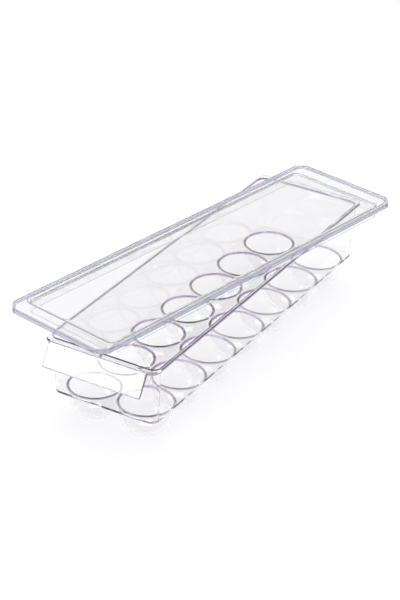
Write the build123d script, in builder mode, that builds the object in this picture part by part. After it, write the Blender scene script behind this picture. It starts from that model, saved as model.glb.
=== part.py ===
"""Clear egg bin for a refrigerator: a tray with two rows of seven round egg cups, and a loose lid.

The bin is two injection mouldings. The tray moulding is written as several nodes that meet face to
face (walls, front handle, and one node for each egg cup), so that each cup stays an open hollow.
Units are millimetres. The front, with the handle, faces -Y. The origin is at the centre of the
bounding box of the whole object, on the surface that the cups stand on.
"""

from build123d import *
import math
import os

os.makedirs("parts", exist_ok=True)

# ---- driving dimensions: egg cups ----
EGG_PITCH = 48.0            # centre to centre, both ways
ROWS = 7
SIDES = {"left": -1, "right": 1}
SKIN = 1.8                  # thickness of every moulded wall
CUP_RADIUS = 21.6           # outside of the round bottom
CUP_MOUTH_RADIUS = 22.9     # outside of the cup where it meets the deck
FOOT_RADIUS = 6.0           # flat disc under each cup
CUP_NECK = 6.8              # from the middle of the round bottom up to the deck
CUP_LIP_RADIUS = 1.0        # rounding where a cup opens into the deck

# ---- driving dimensions: tray walls ----
BASE_WIDTH = 96.2
BASE_LENGTH = 341.4
BASE_CORNER = 7.5
TOP_WIDTH = 100.8
TOP_LENGTH = 344.4
TOP_CORNER = 7.0
WALL_HEIGHT = 51.7
RIM_WIDTH = 104.4
RIM_LENGTH = 354.2
RIM_CORNER = 7.5
RIM_THICKNESS = 2.2
RIM_ROUNDING = 0.9

# ---- driving dimensions: front handle ----
HANDLE_WIDTH = 90.4
HANDLE_THICKNESS = 1.8
HANDLE_DROP = 17.6
HANDLE_REACH = 11.0
HANDLE_BEND = 1.4
HANDLE_END_ROUNDING = 0.8

# ---- driving dimensions: lid ----
LID_WIDTH = 107.8
LID_LENGTH = 369.0
LID_CHAMFER = 8.0
LID_CORNER = 3.0            # softens both ends of each chamfer
LID_LIP_DEPTH = 4.3
LID_LIP_THICKNESS = 2.0
STEP_DEPTH = 1.2            # the border steps down once before the panel
STEP_INSET = 4.0
STEP_CORNER = 7.0
STEP_FRONT_INSET = 16.4
PANEL_DEPTH = 3.0           # the panel lies this far below the top of the border
PLUG_DEPTH = 12.0
PLUG_WIDTH = 96.0
PLUG_FRONT = 166.2          # from the middle of the lid to the front of the plug
PLUG_BACK = 170.8
PLUG_CORNER = 6.5

# ---- how the loose lid lies on the tray ----
LID_GAP = 0.3               # under the plug, so that the two mouldings don't bite
LID_TURN = -11.45           # degrees, seen from above
LID_SHIFT_X = -5.3          # middle of the lid, from the middle of the rim
LID_SHIFT_Y = 2.4

# ---- heights ----
BALL_Z = math.sqrt(CUP_RADIUS**2 - FOOT_RADIUS**2)
DECK_Z = BALL_Z + CUP_NECK
DECK_TOP_Z = DECK_Z + SKIN
RIM_Z = DECK_Z + WALL_HEIGHT
LID_TOP_Z = RIM_Z + LID_GAP + PLUG_DEPTH


def handle_outline():
    """Side view of the handle: origin at the top front edge of the rim, sketch X towards the back."""
    slope = math.atan2(HANDLE_REACH, HANDLE_DROP)
    across = HANDLE_THICKNESS / math.cos(slope)
    with BuildSketch(Plane.YZ) as section:
        with BuildLine():
            Polyline(
                (0, -RIM_THICKNESS),
                (0, -RIM_ROUNDING),
                (-across, -RIM_ROUNDING),
                (-across - HANDLE_REACH, -RIM_ROUNDING - HANDLE_DROP),
                (-HANDLE_REACH, -RIM_ROUNDING - HANDLE_DROP),
                close=True,
            )
        make_face()
        fillet(section.vertices().group_by(Axis.Y)[0], HANDLE_END_ROUNDING)
        fillet(section.vertices().group_by(Axis.Y)[-1].sort_by(Axis.X)[0], HANDLE_BEND)
    return section.sketch


def lid_outline():
    """Rectangle of the lid seen from above, with its four softened chamfers."""
    with BuildSketch() as outline:
        Rectangle(LID_WIDTH, LID_LENGTH)
        chamfer(outline.vertices(), LID_CHAMFER)
        fillet(outline.vertices(), LID_CORNER)
    return outline.sketch


HANDLE_OUTLINE = handle_outline()
LID_OUTLINE = lid_outline()

# ---- where the bounding box puts the middle of the rim ----
LID_SPREAD = (Rot(Z=LID_TURN) * LID_OUTLINE).bounding_box()
HANDLE_FRONT = HANDLE_OUTLINE.bounding_box().min.Y - RIM_LENGTH / 2
FRONT_END = min(HANDLE_FRONT, LID_SHIFT_Y + LID_SPREAD.min.Y)
BACK_END = LID_SHIFT_Y + LID_SPREAD.max.Y
RIM_X = -LID_SHIFT_X
RIM_Y = -(FRONT_END + BACK_END) / 2


def save(piece, name):
    """Labels one finished piece and writes it as its own STEP file."""
    piece.part.label = name
    export_step(piece.part, f"parts/{name}.step")


def drafted_block(inset):
    """Tapered block with the outline of the tray walls, drawn in by inset."""
    with BuildPart() as block:
        with BuildSketch(Plane.XY.offset(DECK_Z)):
            with Locations((RIM_X, RIM_Y)):
                RectangleRounded(BASE_WIDTH - 2 * inset, BASE_LENGTH - 2 * inset, BASE_CORNER - inset)
        with BuildSketch(Plane.XY.offset(RIM_Z)):
            with Locations((RIM_X, RIM_Y)):
                RectangleRounded(TOP_WIDTH - 2 * inset, TOP_LENGTH - 2 * inset, TOP_CORNER - inset)
        loft()
    return block.part


WALL_OUTSIDE = drafted_block(0)
TRAY_SPACE = drafted_block(SKIN)
CUP_SPACE = TRAY_SPACE + Pos(Z=DECK_Z / 2) * Box(2 * RIM_WIDTH, 2 * RIM_LENGTH, DECK_Z)


def make_walls():
    """Four drafted walls in one ring, with the flat rim that the lid closes on."""
    with BuildPart() as walls:
        with BuildSketch(Plane.XY.offset(RIM_Z - RIM_THICKNESS)):
            with Locations((RIM_X, RIM_Y)):
                RectangleRounded(RIM_WIDTH, RIM_LENGTH, RIM_CORNER)
        extrude(amount=RIM_THICKNESS)
        fillet(walls.edges().group_by(Axis.Z)[-1], RIM_ROUNDING)
        add(WALL_OUTSIDE)
        add(TRAY_SPACE, mode=Mode.SUBTRACT)
    save(walls, "tray_walls")


def make_handle():
    """Sloping grip that hangs from the front edge of the rim."""
    with BuildPart() as handle:
        with Locations((RIM_X - HANDLE_WIDTH / 2, RIM_Y - RIM_LENGTH / 2, RIM_Z)):
            add(extrude(HANDLE_OUTLINE, HANDLE_WIDTH, mode=Mode.PRIVATE))
    save(handle, "front_handle")


def cup_section(radius, mouth_radius, top_z, foot_radius):
    """Half outline of a cup: round bottom with a flat foot, then a straight flare up to top_z."""
    low_z = BALL_Z - math.sqrt(radius**2 - foot_radius**2)
    half_way = math.sqrt(0.5) * radius
    with BuildSketch(Plane.XZ) as section:
        with BuildLine():
            Polyline((0, top_z), (0, low_z), (foot_radius, low_z))
            ThreePointArc((foot_radius, low_z), (half_way, BALL_Z - half_way), (radius, BALL_Z))
            Polyline((radius, BALL_Z), (mouth_radius, top_z), (0, top_z))
        make_face()
    return section.sketch


def make_cup(name, x, y, reach_front, reach_back):
    """One cell of the deck with a round cup hanging below it."""
    deck_length = EGG_PITCH + reach_front + reach_back
    deck_y = y + (reach_back - reach_front) / 2
    outside = cup_section(CUP_RADIUS, CUP_MOUTH_RADIUS, DECK_Z, FOOT_RADIUS)
    inside = cup_section(CUP_RADIUS - SKIN, CUP_MOUTH_RADIUS - SKIN, DECK_TOP_Z, FOOT_RADIUS)
    with BuildPart() as cup:
        with BuildSketch(Plane.XY.offset(DECK_Z)):
            with Locations((x, deck_y)):
                Rectangle(EGG_PITCH, deck_length)
        extrude(amount=SKIN)
        with Locations((x, y, 0)):
            add(revolve(outside, Axis.Z, mode=Mode.PRIVATE))
            add(revolve(inside, Axis.Z, mode=Mode.PRIVATE), mode=Mode.SUBTRACT)
        mouth = cup.edges().filter_by(GeomType.CIRCLE).group_by(Axis.Z)[-1]
        fillet(mouth, CUP_LIP_RADIUS)
        add(CUP_SPACE, mode=Mode.INTERSECT)
    save(cup, name)


def make_all_cups():
    """Two rows of cups, numbered from the front."""
    for side, sign in SIDES.items():
        for row in range(ROWS):
            x = RIM_X + sign * EGG_PITCH / 2
            y = RIM_Y + (row - (ROWS - 1) / 2) * EGG_PITCH
            reach_front = EGG_PITCH / 4 if row == 0 else 0
            reach_back = EGG_PITCH / 4 if row == ROWS - 1 else 0
            make_cup(f"egg_cup_{side}_{row + 1}", x, y, reach_front, reach_back)


def lid_rectangle(width, front, back, corner):
    """Rounded rectangle on the middle line of the lid, reaching front and back of its middle."""
    with BuildSketch() as shape:
        with Locations((0, (back - front) / 2)):
            RectangleRounded(width, front + back, corner)
    return shape.sketch


def make_lid():
    """Shallow lid: chamfered border with a turned-down lip, a sunk panel, and a plug ring below."""
    turn = math.radians(LID_TURN)
    frame = Plane(
        origin=(RIM_X + LID_SHIFT_X, RIM_Y + LID_SHIFT_Y, LID_TOP_Z),
        x_dir=(math.cos(turn), math.sin(turn), 0),
        z_dir=(0, 0, 1),
    )
    inside_lip = offset(LID_OUTLINE, -LID_LIP_THICKNESS, mode=Mode.PRIVATE)
    step = lid_rectangle(
        LID_WIDTH - 2 * STEP_INSET,
        LID_LENGTH / 2 - STEP_FRONT_INSET,
        LID_LENGTH / 2 - STEP_INSET,
        STEP_CORNER,
    )
    plug = lid_rectangle(PLUG_WIDTH, PLUG_FRONT, PLUG_BACK, PLUG_CORNER)
    panel = lid_rectangle(PLUG_WIDTH - 2 * SKIN, PLUG_FRONT - SKIN, PLUG_BACK - SKIN, PLUG_CORNER - SKIN)
    layers = [
        # border plate with the lip turned down round its edge
        (0, LID_OUTLINE, LID_LIP_DEPTH, Mode.ADD),
        (SKIN, inside_lip, LID_LIP_DEPTH, Mode.SUBTRACT),
        # the border's sunk step
        (STEP_DEPTH, step, SKIN, Mode.ADD),
        (0, step, STEP_DEPTH, Mode.SUBTRACT),
        # the plug ring, with the panel across it
        (STEP_DEPTH, plug, PLUG_DEPTH - STEP_DEPTH, Mode.ADD),
        (0, panel, PLUG_DEPTH, Mode.SUBTRACT),
        (PANEL_DEPTH, panel, SKIN, Mode.ADD),
    ]
    with BuildPart() as lid:
        for depth, outline, thickness, mode in layers:
            with BuildSketch(frame.offset(-depth)):
                add(outline)
            extrude(amount=-thickness, mode=mode)
    save(lid, "lid")


make_walls()
make_handle()
make_all_cups()
make_lid()
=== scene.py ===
"""Clear egg bin for a refrigerator: a tray moulding with two rows of egg cups, and its loose lid.

Both mouldings are closed shells of clear plastic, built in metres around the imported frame. The tray
stands for all the frame's tray nodes, because in clear plastic a joint inside it would show.
"""

import logging
import math
from collections.abc import Iterable, Mapping, Sequence
from dataclasses import dataclass, field, replace
from enum import Enum

import bmesh
import bpy
from mathutils import Matrix, Vector


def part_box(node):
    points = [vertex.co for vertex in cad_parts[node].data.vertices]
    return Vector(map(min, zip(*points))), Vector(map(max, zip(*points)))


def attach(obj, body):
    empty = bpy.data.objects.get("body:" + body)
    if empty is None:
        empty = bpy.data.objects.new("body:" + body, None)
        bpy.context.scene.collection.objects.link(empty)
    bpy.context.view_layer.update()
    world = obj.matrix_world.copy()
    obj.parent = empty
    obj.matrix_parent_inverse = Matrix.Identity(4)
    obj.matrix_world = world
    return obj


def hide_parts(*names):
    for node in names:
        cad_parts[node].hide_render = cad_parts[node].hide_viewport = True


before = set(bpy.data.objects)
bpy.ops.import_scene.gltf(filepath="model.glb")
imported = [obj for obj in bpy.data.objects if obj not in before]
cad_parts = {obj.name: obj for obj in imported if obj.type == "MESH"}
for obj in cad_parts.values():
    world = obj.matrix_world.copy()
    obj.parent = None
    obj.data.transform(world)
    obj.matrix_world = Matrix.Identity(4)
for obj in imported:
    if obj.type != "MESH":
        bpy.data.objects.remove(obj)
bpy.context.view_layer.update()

LOG = logging.getLogger("egg_bin")

MM = 0.001
SKIN = 1.8 * MM                 # thickness of every moulded wall
SMALLEST_CORNER = 0.3 * MM      # a corner stays this round, however far its outline is drawn in
SOFT_ANGLE = math.radians(32)   # edges sharper than this stay crisp in the shading
FLAT_WEIGHT = 60                # how strongly a large face leads the shading of the small ones beside it
WELD = 0.002 * MM               # points closer than this are one point
PAST = 0.01 * MM                # how far one solid runs past another's face, so that they cut cleanly
RING_SPREAD = 10 * MM           # between rings while they are joined
ARC_STEPS = 23                  # segments in each rounded corner of the tray
ROUNDING_STEPS = 5              # segments across a rounded edge
CHAMFER_STEPS = 5               # segments at each end of a chamfer
LID_ARC_STEPS = 2 * CHAMFER_STEPS + 1   # gives the lid's round corners as many points as its chamfers
CHAMFER_SHARE = 2 - math.sqrt(2)    # how much shorter a chamfer's side gets as its outline is drawn in
MIX_COLOURS = (6, 7)            # a Mix node's colour inputs, whose names other inputs share
MIX_RESULT = 2                  # its colour output


class Corner(Enum):
    """How the corners of an outline are cut."""

    ROUND = "round"
    CHAMFER = "chamfer"


class Face(Enum):
    """Which of a moulding's two materials a face has: plain clear plastic, or edge plastic with painted
    shade.
    """

    PLAIN = 0
    # edge faces, with painted shade for the dark lines that the dim room leaves in them
    PAINTED_EDGE = 1


class Meeting(Enum):
    """How one closed solid is combined with another."""

    UNION = "UNION"
    DIFFERENCE = "DIFFERENCE"


# ---------------------------------------------------------------- outlines and solids


@dataclass(frozen=True)
class Outline:
    """Level rectangle with treated corners, one ring of a moulding's surface."""

    width: float
    length: float
    corner: float
    height: float
    centre: Vector = Vector((0.0, 0.0))
    style: Corner = Corner.ROUND
    steps: int = ARC_STEPS
    softening: float = 0.0
    band: Face = Face.PLAIN         # material of the faces between this ring and the next

    def inset(self, amount: float, height: float | None = None) -> "Outline":
        """Gives the same outline drawn in by an amount, at another height if one is named."""
        return replace(
            self,
            width=self.width - 2 * amount,
            length=self.length - 2 * amount,
            corner=max(self.corner - amount, SMALLEST_CORNER),
            height=self.height if height is None else height,
        )

    def at(self, height: float) -> "Outline":
        """Gives the same outline at another height."""
        return replace(self, height=height)

    def banded(self, band: Face) -> "Outline":
        """Gives the same outline with another material on the faces up to the next ring."""
        return replace(self, band=band)

    def towards(self, other: "Outline", height: float) -> "Outline":
        """Gives the outline between this one and another, where a drafted wall has that height.

        Args:
            other: The outline at the wall's far end.
            height: The level of the new outline.

        Returns:
            An outline with every size in proportion.
        """
        share = (height - self.height) / (other.height - self.height)
        return replace(
            self,
            width=self.width + share * (other.width - self.width),
            length=self.length + share * (other.length - self.length),
            corner=self.corner + share * (other.corner - self.corner),
            height=height,
            centre=self.centre.lerp(other.centre, share),
        )

    def draw(self, mesh: bmesh.types.BMesh) -> list[bmesh.types.BMEdge]:
        """Draws the outline as a closed ring of edges.

        Args:
            mesh: The mesh that gets the ring.

        Returns:
            The edges of the ring.
        """
        known = set(mesh.edges)
        corners = bmesh.ops.create_grid(mesh, x_segments=1, y_segments=1, size=0.5)["verts"]
        place = Matrix.Translation((*self.centre, self.height))
        size = Matrix.Diagonal((self.width, self.length, 1.0, 1.0))
        bmesh.ops.transform(mesh, matrix=place @ size, verts=corners)
        if self.style is Corner.CHAMFER:
            cut = round_points(mesh, corners, self.corner, 1)
            round_points(mesh, cut, self.softening, self.steps)
        else:
            round_points(mesh, corners, self.corner, self.steps)
        ring = [edge for edge in mesh.edges if edge not in known]
        inside = {face for edge in ring for face in edge.link_faces}
        bmesh.ops.delete(mesh, geom=list(inside), context="FACES_ONLY")
        return ring


def round_points(
    mesh: bmesh.types.BMesh, points: Sequence[bmesh.types.BMVert], reach: float, steps: int
) -> list[bmesh.types.BMVert]:
    """Cuts the corners of a flat shape, as chamfers with one step or as arcs with more.

    Args:
        mesh: The mesh that holds the shape.
        points: The corners to cut.
        reach: How far along each side the cut starts.
        steps: Segments in each cut.

    Returns:
        The new corners.
    """
    made = bmesh.ops.bevel(
        mesh,
        geom=list(points),
        offset=reach,
        offset_type="OFFSET",
        segments=steps,
        profile=0.5,
        affect="VERTICES",
        material=-1,
    )
    return made["verts"]


def mark(faces: Iterable[bmesh.types.BMFace], face_material: Face) -> None:
    """Notes which material some faces have."""
    for face in faces:
        face.material_index = face_material.value


def stack(outlines: Sequence[Outline]) -> bmesh.types.BMesh:
    """Joins rings into one closed shell, in their order, with a flat cap on the first and the last.

    The rings are joined one above the other and then moved to their own heights, because two rings
    at the same height could be joined the wrong way round.

    Args:
        outlines: The rings, each with as many points as the next.

    Returns:
        A new mesh with its faces outward.
    """
    mesh = bmesh.new()
    rings = [outline.at(order * RING_SPREAD).draw(mesh) for order, outline in enumerate(outlines)]
    for ring, outline, following in zip(rings, outlines, rings[1:]):
        made = bmesh.ops.bridge_loops(mesh, edges=ring + following)
        mark(made["faces"], outline.band)
    for end in (rings[0], rings[-1]):
        bmesh.ops.edgeloop_fill(mesh, edges=end)
    for order, (ring, outline) in enumerate(zip(rings, outlines)):
        points = list({point for edge in ring for point in edge.verts})
        bmesh.ops.translate(mesh, vec=(0.0, 0.0, outline.height - order * RING_SPREAD), verts=points)
    bmesh.ops.recalc_face_normals(mesh, faces=mesh.faces)
    return mesh


def turned(points: Sequence[tuple[float, float]], steps: int) -> bmesh.types.BMesh:
    """Spins an open half outline about the Z axis into a closed solid.

    Args:
        points: Radius and height of each point, from the axis out and back to the axis.
        steps: Segments in the full turn.

    Returns:
        A new mesh with its faces outward.
    """
    mesh = bmesh.new()
    line = [mesh.verts.new((radius, 0.0, height)) for radius, height in points]
    edges = [mesh.edges.new(pair) for pair in zip(line, line[1:])]
    bmesh.ops.spin(
        mesh,
        geom=line + edges,
        cent=(0.0, 0.0, 0.0),
        axis=(0.0, 0.0, 1.0),
        angle=math.tau,
        steps=steps,
        use_merge=True,
    )
    bmesh.ops.remove_doubles(mesh, verts=mesh.verts, dist=WELD)
    bmesh.ops.recalc_face_normals(mesh, faces=mesh.faces)
    return mesh


def repeated(mesh: bmesh.types.BMesh, places: Iterable[Vector]) -> bmesh.types.BMesh:
    """Copies a solid to every place, and leaves none where it was made.

    Args:
        mesh: The solid at the origin.
        places: Where the copies stand.

    Returns:
        The same mesh, with one copy at each place.
    """
    first = list(mesh.verts) + list(mesh.edges) + list(mesh.faces)
    for place in places:
        copy = bmesh.ops.duplicate(mesh, geom=first)["geom"]
        points = [item for item in copy if isinstance(item, bmesh.types.BMVert)]
        bmesh.ops.translate(mesh, vec=place, verts=points)
    bmesh.ops.delete(mesh, geom=[item for item in first if isinstance(item, bmesh.types.BMVert)])
    return mesh


def quarter_turn() -> list[tuple[float, float]]:
    """Lists the sine and cosine of each angle across a rounded edge."""
    angles = [math.pi / 2 * i / ROUNDING_STEPS for i in range(ROUNDING_STEPS + 1)]
    return [(math.sin(angle), math.cos(angle)) for angle in angles]


def rings_along(
    outline: Outline, steps: Sequence[tuple[float, float]], band: Face
) -> list[Outline]:
    """Draws an outline in and up, step by step.

    Args:
        outline: The outline that the steps are measured from.
        steps: How far each ring is drawn in, and how far it is raised.
        band: Material of the faces between the rings.

    Returns:
        The rings. The last keeps the outline's own material for what follows it.
    """
    rings = [outline.inset(inward, outline.height + rise) for inward, rise in steps]
    return [*(ring.banded(band) for ring in rings[:-1]), rings[-1]]


def rounded_foot(outline: Outline, radius: float, band: Face = Face.PAINTED_EDGE) -> list[Outline]:
    """Rounds the edge where a wall rises from the level face at the outline's height.

    Args:
        outline: The wall's outline, at the height of the level face.
        radius: Radius of the rounding, below zero where the wall leans over the face.
        band: Material of the rounding, by default the edge one with painted shade.

    Returns:
        The rings, from the level face to the wall.
    """
    steps = [(radius * (1 - sine), radius * (1 - cosine)) for sine, cosine in quarter_turn()]
    return rings_along(outline, steps, band)


def rounded_top(outline: Outline, radius: float, band: Face = Face.PAINTED_EDGE) -> list[Outline]:
    """Rounds the edge where a wall ends at the level face at the outline's height.

    Args:
        outline: The wall's outline, at the height of the level face.
        radius: Radius of the rounding.
        band: Material of the rounding, by default the edge one with painted shade.

    Returns:
        The rings, from the wall to the level face.
    """
    steps = [(radius * (1 - cosine), radius * (sine - 1)) for sine, cosine in quarter_turn()]
    return rings_along(outline, steps, band)


def as_object(
    mesh: bmesh.types.BMesh, name: str, face_materials: Sequence[bpy.types.Material]
) -> bpy.types.Object:
    """Turns a bmesh into an object at the origin, and frees the bmesh.

    Args:
        mesh: The shape.
        name: Name of the object.
        face_materials: Its materials, in the order that Face numbers them.

    Returns:
        The object.
    """
    data = bpy.data.meshes.new(name)
    for face_material in face_materials:
        data.materials.append(face_material)
    mesh.to_mesh(data)
    mesh.free()
    piece = bpy.data.objects.new(name, data)
    bpy.context.scene.collection.objects.link(piece)
    return piece


def combine(piece: bpy.types.Object, tool: bpy.types.Object, meeting: Meeting) -> None:
    """Changes a piece by another solid, and removes that solid with its mesh.

    Args:
        piece: The solid that stays.
        tool: The solid that is added or cut away.
        meeting: Which of the two is done.
    """
    step = piece.modifiers.new(meeting.value.lower(), "BOOLEAN")
    step.operation = meeting.value
    step.solver = "EXACT"
    step.object = tool
    graph = bpy.context.evaluated_depsgraph_get()
    changed = bpy.data.meshes.new_from_object(piece.evaluated_get(graph))
    piece.modifiers.clear()
    before = piece.data
    piece.data = changed
    bpy.data.meshes.remove(before)
    bpy.data.meshes.remove(tool.data)


def tidy(piece: bpy.types.Object) -> None:
    """Merges doubled points, drops slivers, and turns every face outward.

    Args:
        piece: The moulding.
    """
    mesh = bmesh.new()
    mesh.from_mesh(piece.data)
    bmesh.ops.remove_doubles(mesh, verts=mesh.verts, dist=WELD)
    bmesh.ops.dissolve_degenerate(mesh, edges=mesh.edges, dist=WELD)
    bmesh.ops.recalc_face_normals(mesh, faces=mesh.faces)
    mesh.to_mesh(piece.data)
    mesh.free()


def shade_softly(piece: bpy.types.Object) -> None:
    """Shades a moulding smooth, with crisp edges kept and flat faces left flat.

    Args:
        piece: The moulding.
    """
    piece.data.shade_smooth()
    piece.data.set_sharp_from_angle(angle=SOFT_ANGLE)
    normals = piece.modifiers.new("flat faces lead", "WEIGHTED_NORMAL")
    normals.mode = "FACE_AREA"
    normals.weight = FLAT_WEIGHT
    normals.keep_sharp = True


def arc(
    centre: tuple[float, float], radius: float, start: float, end: float, steps: int
) -> list[tuple[float, float]]:
    """Works out points along a circular arc.

    Args:
        centre: Middle of the circle.
        radius: Its radius.
        start: Angle of the first point, in degrees.
        end: Angle of the last point, in degrees.
        steps: Segments between them.

    Returns:
        The points, both ends included.
    """
    angles = [math.radians(start + (end - start) * i / steps) for i in range(steps + 1)]
    return [(centre[0] + radius * math.cos(a), centre[1] + radius * math.sin(a)) for a in angles]


# ---------------------------------------------------------------- finishes


def add_node(
    tree: bpy.types.NodeTree, kind: str, values: Mapping[str, float] | None = None
) -> bpy.types.Node:
    """Adds a node to a tree.

    Args:
        tree: The material's or the group's tree.
        kind: The node's kind, as Blender names it.
        values: What some of its inputs are set to.

    Returns:
        The node.
    """
    node = tree.nodes.new(kind)
    for label, value in (values or {}).items():
        node.inputs[label].default_value = value
    return node


@dataclass(frozen=True)
class MouldFlow:
    """Marks that the mould leaves in clear plastic: slow waves and light scuffs."""

    name: str = "mould flow"
    numbers: tuple[tuple[str, float], ...] = (
        ("Wave Size", 30.0),
        ("Scuff Size", 400.0),
        ("Roughness", 0.03),
        ("Scuffing", 0.03),
    )
    colours: tuple[str, ...] = ("Clear", "Deep")
    wave_detail: float = 1.5
    scuff_detail: float = 4.0
    scuff_start: float = 0.5        # the noise below this leaves no scuff
    scuff_full: float = 0.75

    def sockets(self, group: bpy.types.NodeTree) -> None:
        """Gives the group its inputs and outputs.

        Args:
            group: The new group.
        """
        ends = group.interface
        for label, value in self.numbers:
            socket = ends.new_socket(name=label, in_out="INPUT", socket_type="NodeSocketFloat")
            socket.default_value = value
        for label in self.colours:
            socket = ends.new_socket(name=label, in_out="INPUT", socket_type="NodeSocketColor")
            socket.default_value = (1.0, 1.0, 1.0, 1.0)
        ends.new_socket(name="Height", in_out="OUTPUT", socket_type="NodeSocketFloat")
        ends.new_socket(name="Roughness", in_out="OUTPUT", socket_type="NodeSocketFloat")
        ends.new_socket(name="Tint", in_out="OUTPUT", socket_type="NodeSocketColor")

    def build(self) -> bpy.types.NodeTree:
        """Builds the node group that every clear moulding uses.

        Returns:
            The group, with sizes and amounts as inputs.
        """
        group = bpy.data.node_groups.new(self.name, "ShaderNodeTree")
        self.sockets(group)
        links = group.links
        given = add_node(group, "NodeGroupInput")
        result = add_node(group, "NodeGroupOutput")
        place = add_node(group, "ShaderNodeTexCoord")
        waves = add_node(group, "ShaderNodeTexNoise", {"Detail": self.wave_detail})
        scuffs = add_node(group, "ShaderNodeTexNoise", {"Detail": self.scuff_detail})
        for noise, size in ((waves, "Wave Size"), (scuffs, "Scuff Size")):
            links.new(place.outputs["Object"], noise.inputs["Vector"])
            links.new(given.outputs[size], noise.inputs["Scale"])

        scuffed = {"From Min": self.scuff_start, "From Max": self.scuff_full}
        sharper = add_node(group, "ShaderNodeMapRange", scuffed)
        links.new(scuffs.outputs["Fac"], sharper.inputs["Value"])
        amount = add_node(group, "ShaderNodeMath")
        amount.operation = "MULTIPLY_ADD"
        links.new(sharper.outputs["Result"], amount.inputs[0])
        links.new(given.outputs["Scuffing"], amount.inputs[1])
        links.new(given.outputs["Roughness"], amount.inputs[2])

        tint = add_node(group, "ShaderNodeMix")
        tint.data_type = "RGBA"
        links.new(waves.outputs["Fac"], tint.inputs["Factor"])
        for label, socket in zip(self.colours, MIX_COLOURS):
            links.new(given.outputs[label], tint.inputs[socket])

        links.new(waves.outputs["Fac"], result.inputs["Height"])
        links.new(amount.outputs["Value"], result.inputs["Roughness"])
        links.new(tint.outputs[MIX_RESULT], result.inputs["Tint"])
        return group


@dataclass(frozen=True)
class ClearPlastic:
    """Glossy see-through plastic: clear on the broad faces, and for the edges partly matt and tinted with
    painted shade.
    """

    name: str
    flow: bpy.types.NodeTree
    # the surface's two colours, which the mould's waves blend; on the edge materials they are painted
    # shade
    clear: tuple[float, float, float] = (0.985, 0.985, 0.986)
    deep: tuple[float, float, float] = (0.965, 0.965, 0.968)
    # share of the lamps' light that passes each surface on its way to the floor
    shade: tuple[float, float, float] = (0.972, 0.972, 0.975)
    refraction: float = 1.57
    clearness: float = 1.0          # the rest is matt in the surface's colours, which the edge materials use for painted shade
    roughness: float = 0.012
    scuffing: float = 0.03
    wave_size: float = 22.0
    wave_depth: float = 0.02 * MM

    def dress(self, tree: bpy.types.NodeTree) -> bpy.types.Node:
        """Sets the plastic's own shader, with the marks of the mould on it.

        Args:
            tree: The material's nodes.

        Returns:
            The shader's node.
        """
        links = tree.links
        gloss = tree.nodes["Principled BSDF"]
        gloss.inputs["IOR"].default_value = self.refraction
        gloss.inputs["Transmission Weight"].default_value = self.clearness
        gloss.inputs["Metallic"].default_value = 0.0
        flow = add_node(tree, "ShaderNodeGroup")
        flow.node_tree = self.flow
        flow.inputs["Wave Size"].default_value = self.wave_size
        flow.inputs["Roughness"].default_value = self.roughness
        flow.inputs["Scuffing"].default_value = self.scuffing
        flow.inputs["Clear"].default_value = (*self.clear, 1.0)
        flow.inputs["Deep"].default_value = (*self.deep, 1.0)
        bump = add_node(tree, "ShaderNodeBump", {"Distance": self.wave_depth})
        links.new(flow.outputs["Tint"], gloss.inputs["Base Color"])
        links.new(flow.outputs["Roughness"], gloss.inputs["Roughness"])
        links.new(flow.outputs["Height"], bump.inputs["Height"])
        links.new(bump.outputs["Normal"], gloss.inputs["Normal"])
        return gloss

    def build(self) -> bpy.types.Material:
        """Builds the material, which lets lamplight straight through to the floor.

        Returns:
            The material.
        """
        material = bpy.data.materials.new(self.name)
        material.use_nodes = True
        tree = material.node_tree
        links = tree.links
        gloss = self.dress(tree)
        through = add_node(tree, "ShaderNodeBsdfTransparent")
        through.inputs["Color"].default_value = (*self.shade, 1.0)
        path = add_node(tree, "ShaderNodeLightPath")
        either = add_node(tree, "ShaderNodeMath")
        either.operation = "MAXIMUM"
        links.new(path.outputs["Is Shadow Ray"], either.inputs[0])
        links.new(path.outputs["Is Diffuse Ray"], either.inputs[1])
        mix = add_node(tree, "ShaderNodeMixShader")
        links.new(either.outputs["Value"], mix.inputs["Fac"])
        links.new(gloss.outputs["BSDF"], mix.inputs[1])
        links.new(through.outputs["BSDF"], mix.inputs[2])
        links.new(mix.outputs["Shader"], tree.nodes["Material Output"].inputs["Surface"])
        return material


# ---------------------------------------------------------------- the two mouldings


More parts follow.
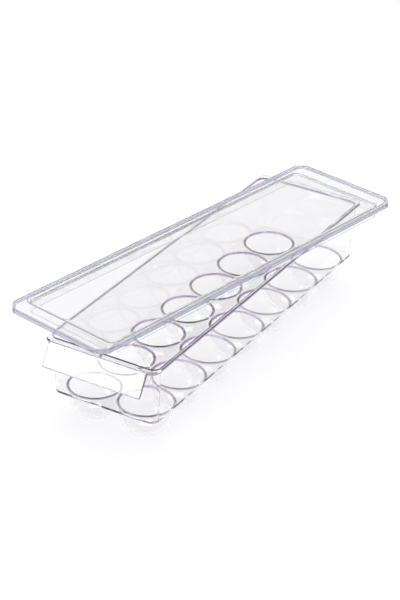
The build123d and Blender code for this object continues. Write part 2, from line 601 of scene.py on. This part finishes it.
@dataclass
class Tray:
    """The tray moulding: drafted walls with a flat rim, a deck of round cups, and a front grip."""

    face_materials: Sequence[bpy.types.Material]
    name: str = "tray"
    body: str = "tray"
    slot: str = "clear_tray"
    rows: int = 7
    sides: tuple[str, ...] = ("left", "right")
    base_width: float = 96.2 * MM
    base_length: float = 341.4 * MM
    base_corner: float = 7.5 * MM
    base_rounding: float = 0.9 * MM
    top_width: float = 100.8 * MM
    top_length: float = 344.4 * MM
    top_corner: float = 7.0 * MM
    rim_corner: float = 7.5 * MM
    rim_thickness: float = 2.2 * MM
    rim_rounding: float = 0.9 * MM
    rim_inner_rounding: float = 0.6 * MM
    cup_radius: float = 21.6 * MM
    cup_mouth: float = 22.9 * MM
    cup_lip: float = 1.0 * MM
    cup_fillet: float = 0.7 * MM
    foot_radius: float = 6.0 * MM
    cup_steps: int = 80
    bowl_steps: int = 16
    lip_steps: int = 6
    grip_thickness: float = 1.8 * MM
    grip_reach: float = 11.0 * MM
    grip_bend: float = 1.8 * MM
    grip_end_rounding: float = 0.75 * MM
    grip_side_rounding: float = 0.3 * MM
    grip_bite: float = 1.5 * MM     # how far the grip is joined into the rim
    grip_end_steps: int = 4
    grip_bend_steps: int = 6
    grip_side_steps: int = 2
    rim_low: Vector = field(init=False)
    rim_high: Vector = field(init=False)

    def __post_init__(self) -> None:
        """Reads the places of the walls from the frame."""
        self.rim_low, self.rim_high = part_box("tray_walls")

    @property
    def deck(self) -> float:
        """Height of the underside of the deck."""
        return self.rim_low.z

    @property
    def middle(self) -> Vector:
        """Middle of the moulding in plan."""
        return ((self.rim_low + self.rim_high) / 2).xy

    def nodes(self) -> list[str]:
        """Names the frame's nodes that this moulding stands for."""
        cups = [f"egg_cup_{side}_{row + 1}" for side in self.sides for row in range(self.rows)]
        return ["tray_walls", "front_handle", *cups]

    def cup_places(self) -> list[Vector]:
        """Finds the middle of every cup, with the pitch of the frame's own cups.

        Returns:
            The places on the floor.
        """
        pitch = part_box("egg_cup_left_3")[0].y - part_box("egg_cup_left_2")[0].y
        across = [-pitch / 2, pitch / 2]
        along = [(row - (self.rows - 1) / 2) * pitch for row in range(self.rows)]
        return [Vector((self.middle.x + x, self.middle.y + y, 0.0)) for x in across for y in along]

    def wall_ends(self) -> tuple[Outline, Outline]:
        """Gives the outside of the drafted walls.

        Returns:
            The outlines at the deck and at the rim.
        """
        low = Outline(self.base_width, self.base_length, self.base_corner, self.deck, self.middle)
        high = Outline(self.top_width, self.top_length, self.top_corner, self.rim_high.z, self.middle)
        return low, high

    def outside(self) -> bpy.types.Object:
        """Builds the filled block of the walls, with the rim on it.

        Returns:
            A closed solid.
        """
        low, high = self.wall_ends()
        size = self.rim_high - self.rim_low
        top = self.rim_high.z
        under_rim = top - self.rim_thickness
        # the rim's outer face gets the edge plastic, with painted shade
        rim = Outline(size.x, size.y, self.rim_corner, under_rim, self.middle, band=Face.PAINTED_EDGE)
        shell = [
            *rounded_foot(low, self.base_rounding),
            low.towards(high, under_rim),
            rim,
            *rounded_top(rim.at(top), self.rim_rounding, Face.PLAIN),
        ]
        return as_object(stack(shell), self.name, self.face_materials)

    def inside(self) -> bpy.types.Object:
        """Builds the space between the walls, above the deck, past the rim's soft inner edge.

        Returns:
            A closed solid to cut away.
        """
        low, high = (end.inset(SKIN) for end in self.wall_ends())
        flare = high.inset(-self.rim_inner_rounding, high.height + PAST)
        shell = [
            low.towards(high, self.deck + SKIN),
            *reversed(rounded_foot(flare, -self.rim_inner_rounding)),
            flare.at(flare.height + SKIN),
        ]
        return as_object(stack(shell), "tray space", self.face_materials)

    def cup_shell(self, radius: float, mouth: float, lip: float, top: float) -> bmesh.types.BMesh:
        """Turns a solid with the shape of a cup's outside or inside.

        Args:
            radius: Radius of the round bottom.
            mouth: Radius where the straight neck ends.
            lip: Radius of the flare from the neck into the deck's surface.
            top: Height of that surface.

        Returns:
            The solid, standing on the Z axis.
        """
        ball = math.sqrt(self.cup_radius**2 - self.foot_radius**2)
        foot = math.degrees(math.asin(self.foot_radius / radius)) - 90
        line = [
            (0.0, ball - math.sqrt(radius**2 - self.foot_radius**2)),
            *arc((0.0, ball), radius, foot, 0, self.bowl_steps),
            *arc((mouth + lip, top - lip + PAST), lip, 180, 90, self.lip_steps),
            (mouth + lip, top + SKIN / 2),
            (0.0, top + SKIN / 2),
        ]
        mesh = turned(line, self.cup_steps)
        # each cup's lip gets the edge plastic, with painted shade
        mark([face for face in mesh.faces if top - lip < face.calc_center_median().z < top], Face.PAINTED_EDGE)
        return mesh

    def grip_section(self, mesh: bmesh.types.BMesh) -> None:
        """Draws the outline of the grip's left end, from the rim down to the tip and back.

        Args:
            mesh: The mesh that gets the outline, as one face.
        """
        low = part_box("front_handle")[0]
        front, top = self.rim_low.y, self.rim_high.z
        under_rim = top - self.rim_thickness + PAST
        across = self.grip_thickness / math.cos(math.atan2(self.grip_reach, top - low.z))
        outline = [
            (front + self.grip_bite, under_rim),
            (front, under_rim),
            (low.y + across, low.z),
            (low.y, low.z),
            (front - across, top - PAST),
            (front + self.grip_bite, top - PAST),
        ]
        points = [mesh.verts.new((low.x, y, z)) for y, z in outline]
        _, _, tip_back, tip_front, bend, _ = points
        mesh.faces.new(points)
        round_points(mesh, [tip_back, tip_front], self.grip_end_rounding, self.grip_end_steps)
        round_points(mesh, [bend], self.grip_bend, self.grip_bend_steps)

    def grip(self) -> bpy.types.Object:
        """Builds the sloping grip, joined into the front edge of the rim.

        Returns:
            A closed solid.
        """
        low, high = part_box("front_handle")
        mesh = bmesh.new()
        self.grip_section(mesh)
        grown = bmesh.ops.extrude_face_region(mesh, geom=mesh.faces[:])["geom"]
        moved = [item for item in grown if isinstance(item, bmesh.types.BMVert)]
        bmesh.ops.translate(mesh, vec=(high.x - low.x, 0.0, 0.0), verts=moved)
        ends = [face for face in mesh.faces if len(face.verts) > 4]     # the long faces have four points
        tip = low.z + self.grip_end_rounding
        # the grip's ends and tip get the edge plastic, with painted shade
        mark(ends, Face.PAINTED_EDGE)
        mark([face for face in mesh.faces if face.calc_center_median().z < tip], Face.PAINTED_EDGE)
        bmesh.ops.bevel(
            mesh,
            geom=[edge for face in ends for edge in face.edges],
            offset=self.grip_side_rounding,
            offset_type="OFFSET",
            segments=self.grip_side_steps,
            profile=0.5,
            affect="EDGES",
            clamp_overlap=True,
            material=Face.PAINTED_EDGE.value,
        )
        bmesh.ops.recalc_face_normals(mesh, faces=mesh.faces)
        return as_object(mesh, "grip", self.face_materials)

    def build(self) -> bpy.types.Object:
        """Builds the whole moulding as one closed shell and dresses it.

        Returns:
            The finished piece.
        """
        places = self.cup_places()
        radius, mouth = self.cup_radius, self.cup_mouth
        bowl = self.cup_shell(radius, mouth, self.cup_fillet, self.deck)
        hollow = self.cup_shell(radius - SKIN, mouth - SKIN, self.cup_lip, self.deck + SKIN)
        bowls = as_object(repeated(bowl, places), "cup bowls", self.face_materials)
        hollows = as_object(repeated(hollow, places), "cup hollows", self.face_materials)
        piece = self.outside()
        combine(piece, bowls, Meeting.UNION)
        combine(piece, self.grip(), Meeting.UNION)
        combine(piece, self.inside(), Meeting.DIFFERENCE)
        combine(piece, hollows, Meeting.DIFFERENCE)
        tidy(piece)
        return finished(piece, self.body, self.nodes())


@dataclass
class Lid:
    """The loose lid: a chamfered border with a turned-down lip, a sunk panel and a plug ring."""

    face_materials: Sequence[bpy.types.Material]
    name: str = "lid"
    body: str = "lid"
    slot: str = "clear_lid"
    width: float = 107.8 * MM
    length: float = 369.0 * MM
    turn: float = math.radians(-11.45)
    chamfer: float = 8.0 * MM
    chamfer_softening: float = 1.25 * MM
    lip_depth: float = 4.3 * MM
    lip_thickness: float = 2.0 * MM
    step_depth: float = 1.2 * MM
    step_inset: float = 4.0 * MM
    step_front_inset: float = 16.4 * MM
    step_corner: float = 7.0 * MM
    panel_depth: float = 3.0 * MM
    plug_width: float = 96.0 * MM
    plug_front: float = 166.2 * MM
    plug_back: float = 170.8 * MM
    plug_corner: float = 6.5 * MM
    edge_rounding: float = 0.5 * MM
    edge_steps: int = 3

    def border(self, inset: float, depth: float) -> Outline:
        """Gives the chamfered outline of the border.

        Args:
            inset: How far it is drawn in.
            depth: How far it lies below the top of the lid.

        Returns:
            The outline, round the lid's own middle.
        """
        return Outline(
            self.width - 2 * inset,
            self.length - 2 * inset,
            self.chamfer - inset * CHAMFER_SHARE,
            -depth,
            style=Corner.CHAMFER,
            steps=CHAMFER_STEPS,
            softening=self.chamfer_softening,
        )

    def ring(self, width: float, front: float, back: float, corner: float, depth: float) -> Outline:
        """Gives a rounded outline on the lid's middle line.

        Args:
            width: Its size across the lid.
            front: How far it reaches in front of the lid's middle.
            back: How far it reaches behind it.
            corner: Radius of its corners.
            depth: How far it lies below the top of the lid.

        Returns:
            The outline.
        """
        middle = Vector((0.0, (back - front) / 2))
        return Outline(width, front + back, corner, -depth, middle, steps=LID_ARC_STEPS)

    def shell(self) -> list[Outline]:
        """Lists the rings of the whole surface.

        Returns:
            The rings, from the panel's top out over the border and back to the panel's underside.
        """
        low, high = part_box(self.name)
        depth = high.z - low.z
        half = self.length / 2
        plug = self.ring(self.plug_width, self.plug_front, self.plug_back, self.plug_corner, depth)
        panel = plug.inset(SKIN)
        step = self.ring(
            self.width - 2 * self.step_inset,
            half - self.step_front_inset,
            half - self.step_inset,
            self.step_corner,
            self.step_depth,
        )
        return [
            panel.at(-self.panel_depth),
            panel.at(-self.step_depth),
            step,
            step.at(0.0),
            # the lip's outer face and underside get the edge plastic, with painted shade
            self.border(0.0, 0.0).banded(Face.PAINTED_EDGE),
            self.border(0.0, self.lip_depth).banded(Face.PAINTED_EDGE),
            self.border(self.lip_thickness, self.lip_depth),
            self.border(self.lip_thickness, SKIN),
            step.at(-SKIN),
            step.at(-self.step_depth - SKIN),
            plug.at(-self.step_depth - SKIN),
            plug,
            panel,
            panel.at(-self.panel_depth - SKIN),
        ]

    def build(self) -> bpy.types.Object:
        """Builds the lid as it lies askew on the tray, and dresses it.

        Returns:
            The finished piece.
        """
        low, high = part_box(self.name)
        place = Matrix.Translation((*((low + high) / 2).xy, high.z))
        mesh = stack(self.shell())
        bmesh.ops.transform(mesh, matrix=place @ Matrix.Rotation(self.turn, 4, "Z"), verts=mesh.verts)
        piece = as_object(mesh, "lid_moulding", self.face_materials)
        soft = piece.modifiers.new("moulded edges", "BEVEL")
        soft.width = self.edge_rounding
        soft.segments = self.edge_steps
        soft.limit_method = "ANGLE"
        soft.angle_limit = SOFT_ANGLE
        soft.material = Face.PLAIN.value
        return finished(piece, self.body, [self.name])


def finished(piece: bpy.types.Object, body: str, nodes: Sequence[str]) -> bpy.types.Object:
    """Gives a moulding its shading, and ties it to the frame.

    Args:
        piece: The moulding.
        body: The frame's body that it moves with.
        nodes: The frame's nodes that it stands for.

    Returns:
        The same piece.
    """
    shade_softly(piece)
    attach(piece, body)
    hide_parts(*nodes)
    LOG.info("%s: %d faces, stands for %d nodes", piece.name, len(piece.data.polygons), len(nodes))
    return piece


# ---------------------------------------------------------------- studio


@dataclass(frozen=True)
class Camera:
    """A long lens that looks down on the front right corner of the bin."""

    azimuth: float = math.radians(29.96)
    elevation: float = math.radians(29.44)
    roll: float = math.radians(1.55)
    lens: float = 123.0
    distance: float = 1.7538
    aim: Vector = Vector((-12.38, 0.56, 13.97)) * MM    # from the middle of the rim, at the deck's height

    def backward(self) -> Vector:
        """Gives the direction from the bin to the camera."""
        level = math.cos(self.elevation)
        across, along = math.sin(self.azimuth) * level, -math.cos(self.azimuth) * level
        return Vector((across, along, math.sin(self.elevation)))

    def build(self) -> bpy.types.Object:
        """Builds the camera and makes it the scene's own.

        Returns:
            The camera.
        """
        low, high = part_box("tray_walls")
        target = Vector((*((low + high) / 2).xy, low.z)) + self.aim
        back = self.backward()
        camera = bpy.data.objects.new("camera", bpy.data.cameras.new("camera"))
        camera.data.lens = self.lens
        camera.matrix_world = (
            Matrix.Translation(target + back * self.distance)
            @ back.to_track_quat("Z", "Y").to_matrix().to_4x4()
            @ Matrix.Rotation(self.roll, 4, "Z")
        )
        bpy.context.scene.collection.objects.link(camera)
        bpy.context.scene.camera = camera
        return camera


@dataclass(frozen=True)
class Softbox:
    """A large square lamp that faces the bin."""

    name: str
    place: Vector
    size: float
    power: float

    def build(self) -> bpy.types.Object:
        """Builds the lamp.

        Returns:
            The lamp's object.
        """
        lamp = bpy.data.lights.new(self.name, "AREA")
        lamp.shape = "SQUARE"
        lamp.size = self.size
        lamp.energy = self.power
        holder = bpy.data.objects.new(self.name, lamp)
        holder.location = self.place
        holder.rotation_mode = "QUATERNION"
        holder.rotation_quaternion = self.place.to_track_quat("Z", "Y")
        bpy.context.scene.collection.objects.link(holder)
        return holder


@dataclass(frozen=True)
class Studio:
    """Plain white floor under soft light, with a grey room round it for the edges to pick up."""

    floor_size: float = 60.0
    floor_drop: float = 0.1 * MM
    floor_colour: tuple[float, float, float] = (0.9, 0.9, 0.9)
    floor_roughness: float = 0.9
    lamps: tuple[Softbox, ...] = (
        Softbox("top softbox", Vector((-0.3, 0.4, 3.0)), 2.6, 79.0),
        Softbox("front softbox", Vector((-1.6, -2.9, 0.9)), 1.0, 24.0),
    )
    # colours of the room, by height: 0 is straight down, 0.5 the horizon and 1 straight up
    room: tuple[tuple[float, tuple[float, float, float]], ...] = (
        (0.50, (0.42, 0.37, 0.47)),
        (0.60, (0.62, 0.60, 0.64)),
        (0.74, (0.62, 0.61, 0.62)),
        (0.86, (0.25, 0.25, 0.26)),
        (1.00, (0.45, 0.45, 0.46)),
    )
    bounces: int = 14               # light that turns more often than this inside an edge is lost
    thin_bounces: int = 32          # surfaces that lamplight passes on its way to the floor

    def floor(self) -> None:
        """Lays the floor just under the feet of the cups."""
        mesh = bmesh.new()
        bmesh.ops.create_grid(mesh, x_segments=1, y_segments=1, size=self.floor_size / 2)
        bmesh.ops.translate(mesh, vec=(0.0, 0.0, -self.floor_drop), verts=mesh.verts)
        paper = bpy.data.materials.new("white paper")
        paper.use_nodes = True
        matt = paper.node_tree.nodes["Principled BSDF"]
        matt.inputs["Base Color"].default_value = (*self.floor_colour, 1.0)
        matt.inputs["Roughness"].default_value = self.floor_roughness
        matt.inputs["Specular IOR Level"].default_value = 0.0
        as_object(mesh, "floor", [paper])

    def room_colours(self, tree: bpy.types.NodeTree) -> bpy.types.Node:
        """Blends the room's colours by height above the horizon.

        Args:
            tree: The world's nodes.

        Returns:
            The node that gives the colour.
        """
        place = add_node(tree, "ShaderNodeTexCoord")
        split = add_node(tree, "ShaderNodeSeparateXYZ")
        height = add_node(tree, "ShaderNodeMapRange", {"From Min": -1.0})
        ramp = add_node(tree, "ShaderNodeValToRGB")
        (lowest, low_colour), *between, (highest, high_colour) = self.room
        first, last = ramp.color_ramp.elements
        first.position, first.color = lowest, (*low_colour, 1.0)
        last.position, last.color = highest, (*high_colour, 1.0)
        for position, colour in between:
            ramp.color_ramp.elements.new(position).color = (*colour, 1.0)
        tree.links.new(place.outputs["Generated"], split.inputs[0])
        tree.links.new(split.outputs["Z"], height.inputs["Value"])
        tree.links.new(height.outputs["Result"], ramp.inputs["Fac"])
        return ramp

    def world(self) -> None:
        """Surrounds the bin with the room, and shows plain white behind it."""
        world = bpy.data.worlds.new("room")
        world.use_nodes = True
        bpy.context.scene.world = world
        tree = world.node_tree
        light = tree.nodes["Background"]
        backdrop = add_node(tree, "ShaderNodeBackground")
        backdrop.inputs["Color"].default_value = (1.0, 1.0, 1.0, 1.0)
        path = add_node(tree, "ShaderNodeLightPath")
        mix = add_node(tree, "ShaderNodeMixShader")
        tree.links.new(self.room_colours(tree).outputs["Color"], light.inputs["Color"])
        tree.links.new(path.outputs["Is Camera Ray"], mix.inputs["Fac"])
        tree.links.new(light.outputs["Background"], mix.inputs[1])
        tree.links.new(backdrop.outputs["Background"], mix.inputs[2])
        tree.links.new(mix.outputs["Shader"], tree.nodes["World Output"].inputs["Surface"])

    def build(self) -> None:
        """Builds the floor, the room and the lamps, and lets light pass through many walls."""
        self.floor()
        self.world()
        for lamp in self.lamps:
            lamp.build()
        scene = bpy.context.scene
        scene.view_settings.view_transform = "Standard"
        scene.cycles.max_bounces = self.bounces
        scene.cycles.transmission_bounces = self.bounces
        scene.cycles.glossy_bounces = self.bounces
        scene.cycles.transparent_max_bounces = self.thin_bounces
        scene.cycles.caustics_reflective = False
        scene.cycles.caustics_refractive = False


def main() -> None:
    """Builds the camera, the studio and both mouldings, and notes the sizes."""
    logging.basicConfig(level=logging.INFO, format="%(name)s %(message)s")
    Camera().build()
    Studio().build()
    flow = MouldFlow().build()
    tray_plastic = ClearPlastic("clear tray plastic", flow)
    # painted shade: the dark violet-grey lines that the tray's edges show of the dim room seen through
    # them
    tray_edge_shade = ClearPlastic(
        "clear tray edges with painted shade", flow, clear=(0.50, 0.42, 0.58), deep=(0.34, 0.26, 0.44), clearness=0.75
    )
    lid_plastic = ClearPlastic("clear lid plastic", flow)
    # painted shade: the dark blue-grey lines that the lid's edges show of the dim room seen through them
    lid_edge_shade = ClearPlastic(
        "clear lid edges with painted shade", flow, clear=(0.54, 0.57, 0.69), deep=(0.30, 0.34, 0.50), clearness=0.65
    )
    Tray([tray_plastic.build(), tray_edge_shade.build()]).build()
    Lid([lid_plastic.build(), lid_edge_shade.build()]).build()


if __name__ == "__main__":
    main()
